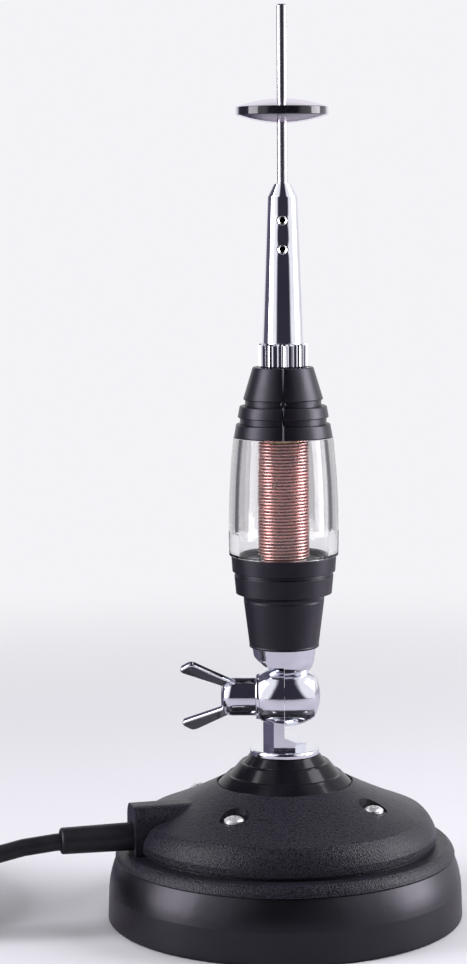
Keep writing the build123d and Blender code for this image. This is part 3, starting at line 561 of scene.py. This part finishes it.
def addPiece(name, shape, body, finish, crease=math.pi):
    mesh = bpy.data.meshes.new(name)
    bmesh.ops.remove_doubles(shape, verts=shape.verts, dist=mergeGap)
    bmesh.ops.recalc_face_normals(shape, faces=shape.faces)
    for face in shape.faces:
        face.smooth = True
    for edge in shape.edges:
        edge.smooth = edge.calc_face_angle(0) < crease
    shape.to_mesh(mesh)
    shape.free()
    piece = bpy.data.objects.new(name, mesh)
    bpy.context.scene.collection.objects.link(piece)
    mesh.materials.append(finishes[finish])
    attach(piece, body)
    return piece


# winding: one wire in a true helix, in place of the ribbed sleeve

winding = {"low": 127.65, "pitch": 1.13, "turns": 36.1, "radius": 8.49, "wire": 0.5, "stepsPerTurn": 40,
           "sides": 8, "startAngle": -150.0}


def windCoil():
    shape = bmesh.new()
    start = Matrix.Rotation(math.radians(winding["startAngle"]), 4, "Z")
    spot = Matrix.Translation((winding["radius"] * mm, 0, winding["low"] * mm))
    stand = Matrix.Rotation(math.radians(90), 4, "X")
    bmesh.ops.create_circle(shape, cap_ends=False, segments=winding["sides"], radius=winding["wire"] * mm,
                            matrix=start @ spot @ stand)
    steps = int(winding["turns"] * winding["stepsPerTurn"])
    rise = winding["pitch"] * mm / winding["stepsPerTurn"]
    geometry = shape.verts[:] + shape.edges[:]
    bmesh.ops.spin(shape, geom=geometry, cent=(0, 0, 0), axis=(0, 0, 1), dvec=(0, 0, rise),
                   angle=2 * math.pi * winding["turns"], steps=steps, use_merge=False)
    openEnds = [edge for edge in shape.edges if edge.is_boundary]
    bmesh.ops.holes_fill(shape, edges=openEnds, sides=winding["sides"])
    coil = addPiece("coilWire", shape, "mast", "copperWire")
    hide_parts("loading_coil")


windCoil()
print("winding is wound")


# fluted collar under the holder: a land and two slanted flanks for each flute

collar = {"foot": 193.7, "height": 8.1, "radius": 8.45, "depth": 0.40, "flutes": 36, "pointsPerFlute": 3,
          "chamfer": 0.5, "bore": 4.1, "crease": 20}


def scaleFlat(shape, verts, factor):
    bmesh.ops.scale(shape, vec=(factor, factor, 1), verts=verts)


def cutCollar():
    shape = bmesh.new()
    radius = collar["radius"] * mm
    points = collar["pointsPerFlute"]
    bmesh.ops.create_circle(shape, cap_ends=False, segments=collar["flutes"] * points, radius=radius)
    shape.verts.ensure_lookup_table()
    scaleFlat(shape, list(shape.verts)[::points], 1 - collar["depth"] / collar["radius"])
    shrink = 1 - collar["chamfer"] / collar["radius"]
    hole = collar["bore"] / collar["radius"]
    bmesh.ops.translate(shape, vec=(0, 0, collar["foot"] * mm), verts=shape.verts)
    loop = shape.edges[:]
    scaleFlat(shape, list(shape.verts), hole)
    # from the bore out over the foot, up the chamfered flutes, in over the top and back down the bore
    upright = collar["height"] - 2 * collar["chamfer"]
    levels = [(0, shrink / hole), (collar["chamfer"], 1 / shrink), (upright, 1), (collar["chamfer"], shrink),
              (0, hole / shrink), (-collar["height"], 1)]
    for rise, factor in levels:
        grown = bmesh.ops.extrude_edge_only(shape, edges=loop)["geom"]
        loop = ofKind(grown, bmesh.types.BMEdge)
        ring = ofKind(grown, bmesh.types.BMVert)
        scaleFlat(shape, ring, factor)
        bmesh.ops.translate(shape, vec=(0, 0, rise * mm), verts=ring)
    crease = math.radians(collar["crease"])
    piece = addPiece("collarRing", shape, "mast", "chromePlate", crease=crease)
    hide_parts("knurled_collar")


cutCollar()
print("collar is fluted")


# moulding marks on the upper cap: a fine flash line and the stub of the sprue, facing front

capMarks = {"foot": 169.6,
            "outline": [(17.1, 0), (16.3, 4.5), (15.0, 4.5), (15.0, 6.7), (15.8, 6.7), (15.07, 10.7),
                        (13.2, 10.7), (13.2, 12.9), (13.9, 12.9), (10.5, 24.1)],
            "lift": 0.18, "sunk": 0.06, "width": 0.62, "topWidth": 0.08, "crease": 25, "digits": 6,
            "stubHeight": 181.7, "stubOut": 13.3, "stubRadius": 1.05, "stubSquash": 0.6,
            "stubFacets": (20, 12)}


def sideSpot(vert):
    return round(vert.co.y, capMarks["digits"]), round(vert.co.z, capMarks["digits"])


def raiseFlash(shape):
    # a ridge along the cap's outline, narrow at its crest
    left = -capMarks["width"] / 2 * mm
    front = [(-out - capMarks["lift"], up) for out, up in capMarks["outline"]]
    back = [(-out + capMarks["sunk"], up) for out, up in reversed(capMarks["outline"])]
    side = [shape.verts.new((left, y * mm, (capMarks["foot"] + z) * mm)) for y, z in front + back]
    ridge = bmesh.ops.extrude_face_region(shape, geom=[shape.faces.new(side)])["geom"]
    bmesh.ops.translate(shape, vec=(capMarks["width"] * mm, 0, 0), verts=ofKind(ridge, bmesh.types.BMVert))
    crestSpots = {sideSpot(vert) for vert in side[:len(front)]}
    crest = [vert for vert in shape.verts if sideSpot(vert) in crestSpots]
    bmesh.ops.scale(shape, vec=(capMarks["topWidth"] / capMarks["width"], 1, 1), verts=crest)


def markCap():
    shape = bmesh.new()
    raiseFlash(shape)
    around, upwards = capMarks["stubFacets"]
    stub = Matrix.Translation((0, -capMarks["stubOut"] * mm, capMarks["stubHeight"] * mm))
    squash = Matrix.Diagonal((1, capMarks["stubSquash"], 1, 1))
    bmesh.ops.create_uvsphere(shape, u_segments=around, v_segments=upwards,
                              radius=capMarks["stubRadius"] * mm, matrix=stub @ squash)
    crease = math.radians(capMarks["crease"])
    addPiece("capFlash", shape, "mast", "mouldedCap", crease=crease)


markCap()
print("moulding marks are on the cap")


# cable: 3.6 m of 6 mm lead, most of it wound up left of the view

cableRoute = {
    "diameter": 6.0, "wayOut": 194.5, "turnRadius": 36.0, "turnsPerLayer": 3.75, "layers": 4,
    "coilDistance": 149.0, "strap": 0.8, "tailTurn": 90.0, "pointsPerTurn": 16, "climbSteps": 3,
    "outPoints": [(20, 33.5), (39.5, 31.8), (98, 31.8), (117, 20.5), (131, 8.6), (143, 3.8)],
    "tailPoints": [(16, 20.0), (37, 9.0), (50, 9.0)],
    "roundness": 5, "splineOrder": 3, "splineSteps": 4,
}
layerSteps = int(cableRoute["turnsPerLayer"] * cableRoute["pointsPerTurn"])


def flatTurn(vector, degrees):
    return Matrix.Rotation(math.radians(degrees), 3, "Z") @ vector


def coilPlan():
    # the way out, the way across it, the coil's outer and inner turn and its middle
    along = flatTurn(Vector((1, 0, 0)), cableRoute["wayOut"])
    across = flatTurn(along, -90)
    band = cableRoute["turnsPerLayer"] * cableRoute["diameter"] / 2
    outerTurn = cableRoute["turnRadius"] + band
    innerTurn = cableRoute["turnRadius"] - band
    centre = along * cableRoute["coilDistance"] + across * outerTurn
    return {"along": along, "across": across, "outer": outerTurn, "inner": innerTurn, "centre": centre}


def coilPoint(plan, count, turnRadius, height):
    # the spline runs inside its points, so they stand a little outside the turn
    pull = 2 / (1 + math.cos(math.pi / cableRoute["pointsPerTurn"]))
    spoke = flatTurn(-plan["across"], -count * 360 / cableRoute["pointsPerTurn"])
    return plan["centre"] + spoke * turnRadius * pull + Vector((0, 0, height))


def layerPoints(plan, layer):
    # even layers wind inwards and odd ones outwards; all but the first start by climbing onto the one below
    radius = cableRoute["diameter"] / 2
    points = []
    for step in range(layerSteps):
        share = step / layerSteps
        share = share if layer % 2 == 0 else 1 - share
        turnRadius = plan["outer"] + (plan["inner"] - plan["outer"]) * share
        rise = min(1.0, (step + 1) / cableRoute["climbSteps"]) if layer else 1.0
        height = cableRoute["strap"] + radius + 2 * radius * (layer - 1 + rise)
        points.append(coilPoint(plan, layer * layerSteps + step, turnRadius, height))
    return points


def tailPoints(plan):
    # a quarter turn on top of the coil, then down and straight to the plug
    top = cableRoute["strap"] + cableRoute["diameter"] / 2 * (2 * cableRoute["layers"] - 1)
    turnSteps = int(cableRoute["tailTurn"] * cableRoute["pointsPerTurn"] / 360) + 1
    wound = cableRoute["layers"] * layerSteps
    points = [coilPoint(plan, wound + step, plan["outer"], top) for step in range(turnSteps)]
    spoke = flatTurn(-plan["across"], -cableRoute["tailTurn"])
    heading = flatTurn(plan["along"], -cableRoute["tailTurn"])
    for reach, height in cableRoute["tailPoints"]:
        points.append(plan["centre"] + spoke * plan["outer"] + heading * reach + Vector((0, 0, height)))
    return points


def cablePoints():
    plan = coilPlan()
    points = [plan["along"] * reach + Vector((0, 0, height)) for reach, height in cableRoute["outPoints"]]
    for layer in range(cableRoute["layers"]):
        points += layerPoints(plan, layer)
    points += tailPoints(plan)
    return [point * mm for point in points]


def drawLead(points):
    data = bpy.data.curves.new("coaxLead", "CURVE")
    data.dimensions = "3D"
    data.bevel_depth = 1.0  # each point's radius is the lead's own, which the curve's box counts in
    data.bevel_resolution = cableRoute["roundness"]
    data.use_fill_caps = True
    spline = data.splines.new("NURBS")
    spline.points.add(len(points) - 1)
    for spot, point in zip(spline.points, points):
        spot.co = (*point, 1)
        spot.radius = cableRoute["diameter"] / 2 * mm
    spline.order_u = cableRoute["splineOrder"]
    spline.use_endpoint_u = True
    spline.resolution_u = cableRoute["splineSteps"]
    data.materials.append(finishes["cableJacket"])
    return data


def layCable():
    points = cablePoints()
    cable = bpy.data.objects.new("coaxLead", drawLead(points))
    bpy.context.scene.collection.objects.link(cable)
    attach(cable, "base")
    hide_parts("cable", "cable_coil", "cable_tail")


layCable()
print("cable is laid")
